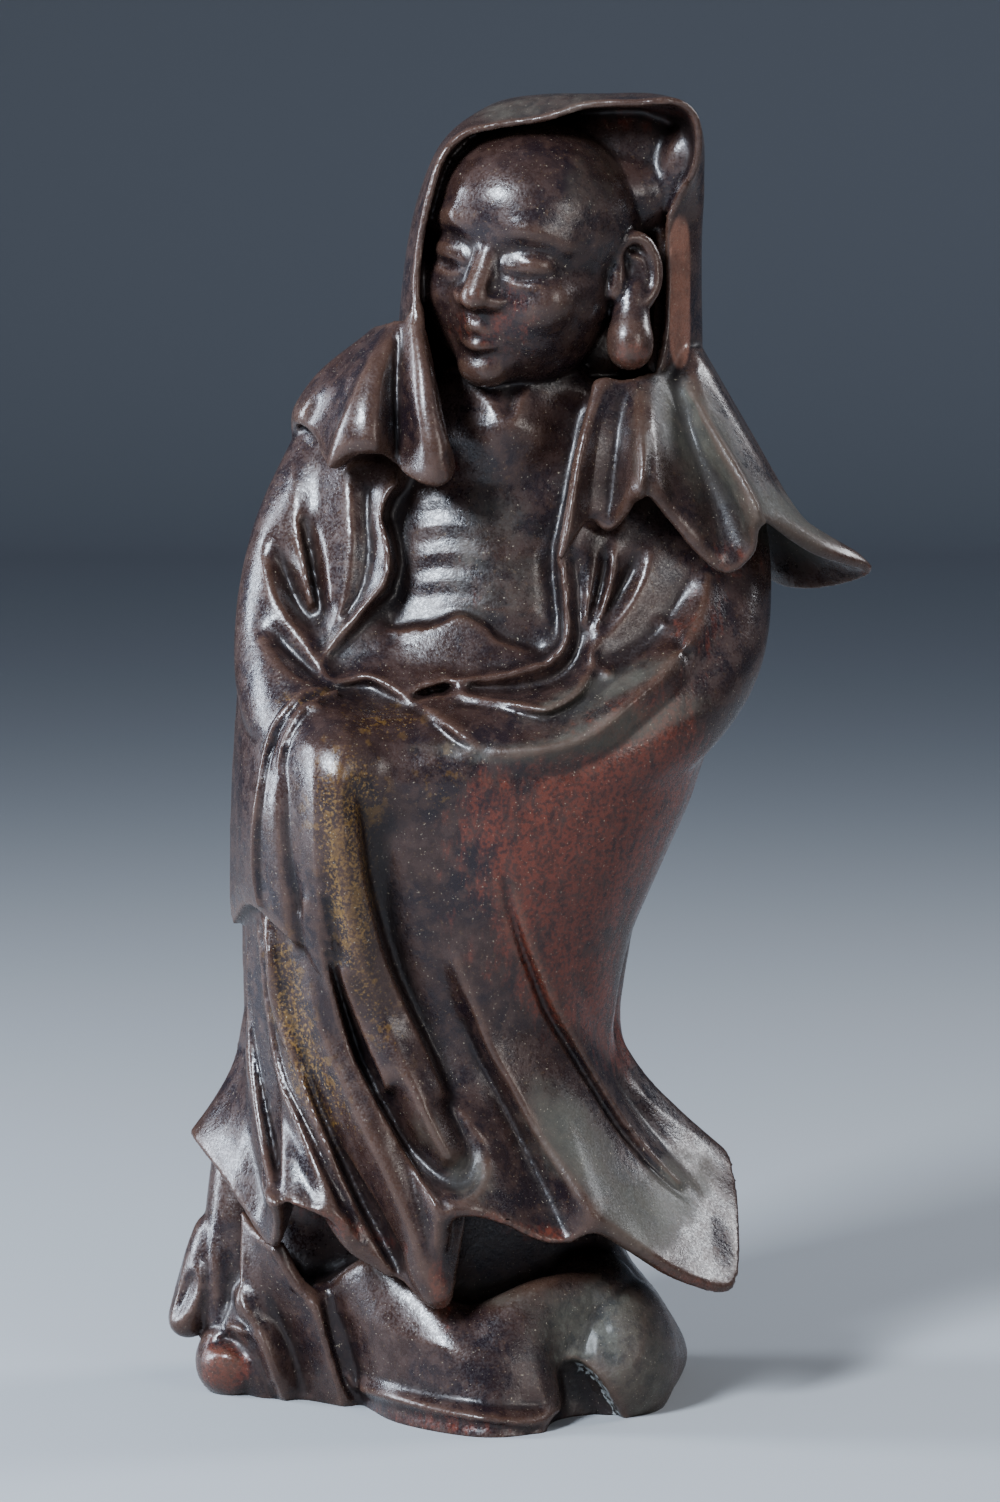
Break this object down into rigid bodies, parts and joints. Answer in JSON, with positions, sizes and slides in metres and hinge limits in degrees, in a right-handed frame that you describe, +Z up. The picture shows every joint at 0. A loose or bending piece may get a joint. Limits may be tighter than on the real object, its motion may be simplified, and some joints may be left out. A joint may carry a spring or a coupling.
{
  "type": "bodhidharma statue",
  "caption": "Glazed stoneware figure of a hooded, standing monk in a wind-blown robe on a rock with curling waves, for standing on a shelf.",
  "frame": {"origin": "on the floor, under the middle of the bounding box", "axes": "+Z up, along the figure; the figure faces -Y, with its own left hand towards +X"},
  "size_m": [0.195, 0.1138, 0.3598],
  "materials": {
    "glazed_stoneware": "satin dark brown iron glaze with red-brown, ochre and grey-green patches"
  },
  "bodies": {
    "root": {"statue": "glazed_stoneware"}
  },
  "joints": []
}
